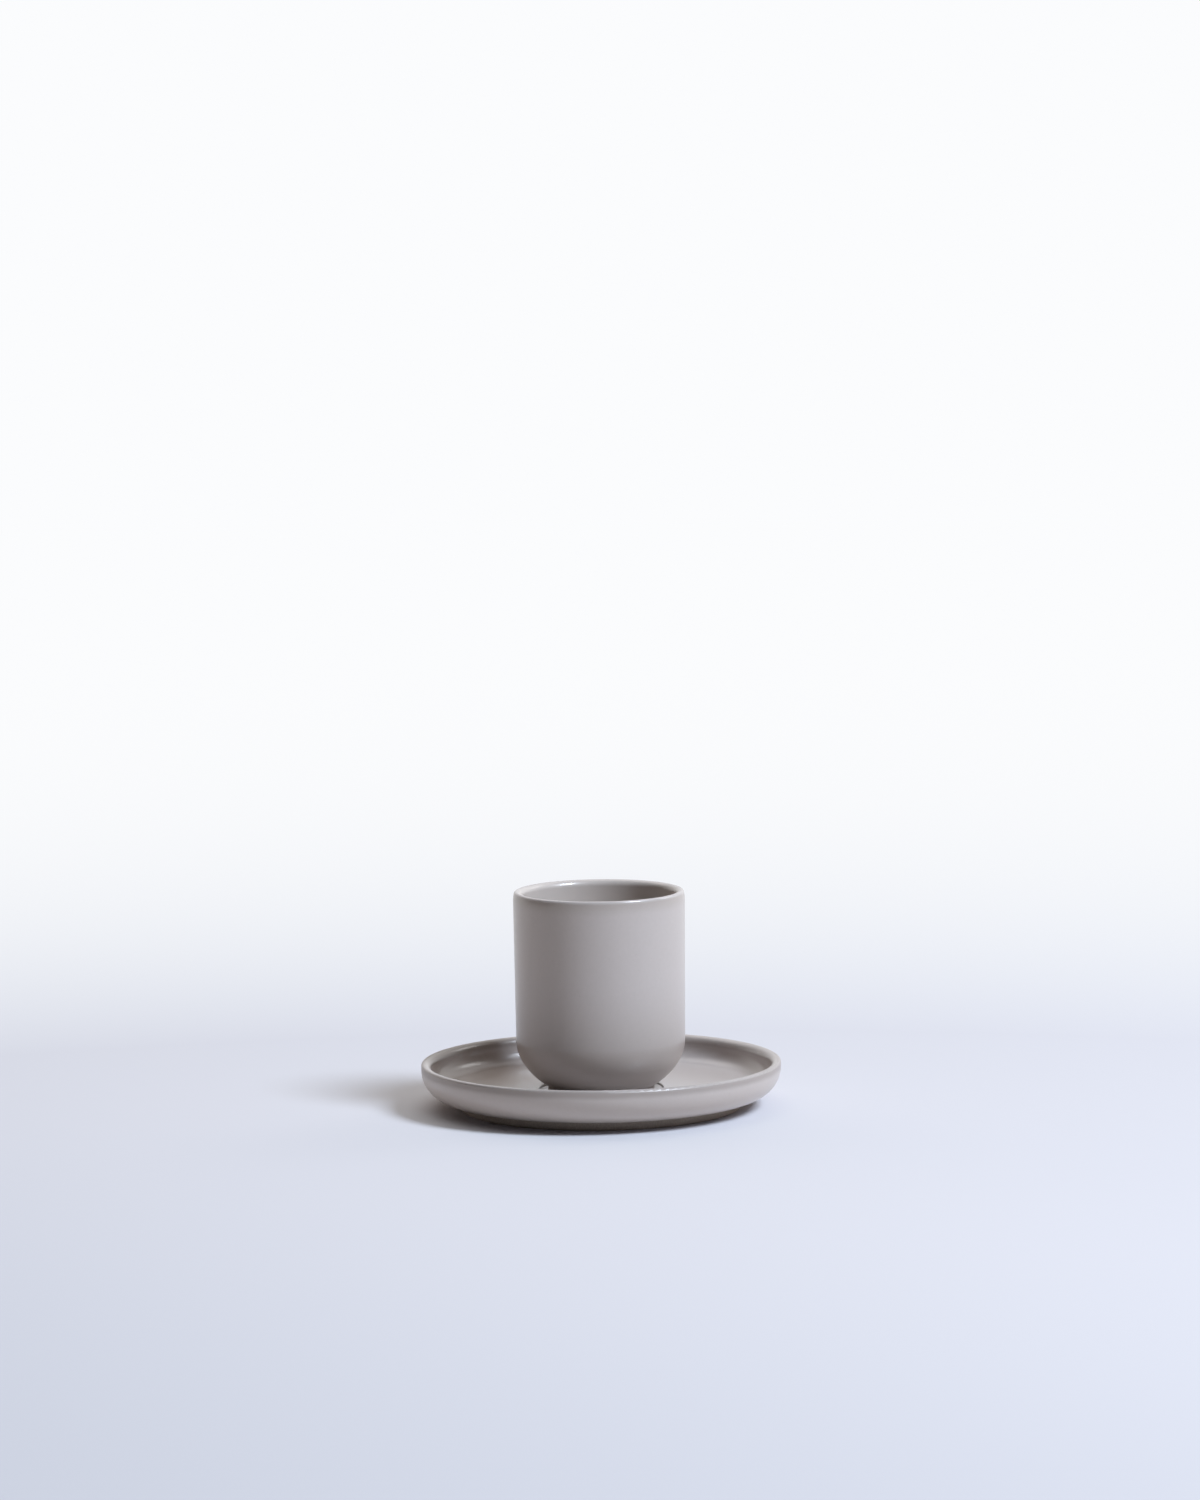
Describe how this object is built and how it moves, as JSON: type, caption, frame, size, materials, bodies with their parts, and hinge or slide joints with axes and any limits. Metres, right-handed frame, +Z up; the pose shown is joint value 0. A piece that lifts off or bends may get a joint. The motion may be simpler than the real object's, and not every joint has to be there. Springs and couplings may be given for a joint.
{
  "type": "espresso cup and saucer",
  "caption": "Handleless glazed stoneware espresso cup with a rounded belly and small foot, standing in the well of a flat saucer with an upright rounded rim.",
  "frame": {"origin": "centre of the saucer's foot ring, on the surface that it stands on", "axes": "+Z up along the axis of the cup and the saucer, +X to the right and -Y towards the viewer as pictured"},
  "size_m": [0.115, 0.115, 0.0697],
  "materials": {
    "saucer_glaze": "warm grey glaze, satin to gloss, bare clay on the foot ring",
    "cup_glaze": "warm grey glaze, satin to gloss, bare clay on the foot ring"
  },
  "bodies": {
    "saucer": {"saucer": "saucer_glaze"},
    "cup": {"cup": "cup_glaze"}
  },
  "joints": [
    {"name": "cup_lift", "type": "slide", "parent": "saucer", "child": "cup", "axis": [0, 0, 1], "range_m": [0, 0.08]}
  ]
}
